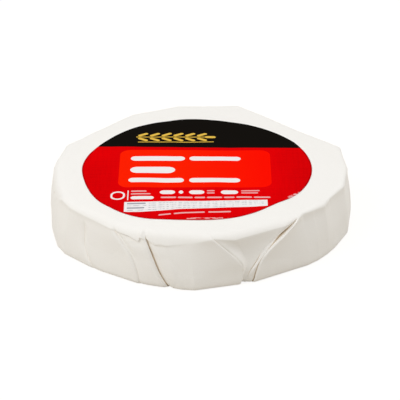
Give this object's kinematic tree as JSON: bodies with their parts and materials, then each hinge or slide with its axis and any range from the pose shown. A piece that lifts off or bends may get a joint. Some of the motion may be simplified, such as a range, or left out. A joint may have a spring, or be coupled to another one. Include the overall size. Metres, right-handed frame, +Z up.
{
  "type": "wrapped cheese wheel",
  "caption": "Low round wheel of soft cheese shut in pleated white paper, with a round printed paper label on its flat top.",
  "frame": {"origin": "middle of the underside, at the height of the surface the wheel rests on", "axes": "+Z up, +X to the right of the label's print, +Y towards the label's dark segment"},
  "size_m": [0.1496, 0.1553, 0.0272],
  "materials": {
    "wrap_paper": "white waxed paper with a soft sheen, folded and creased",
    "label_paper": "coated paper, printed in black, deep red and bright red"
  },
  "bodies": {
    "root": {"wrapped_brie": "wrap_paper", "label": "label_paper"}
  },
  "joints": []
}
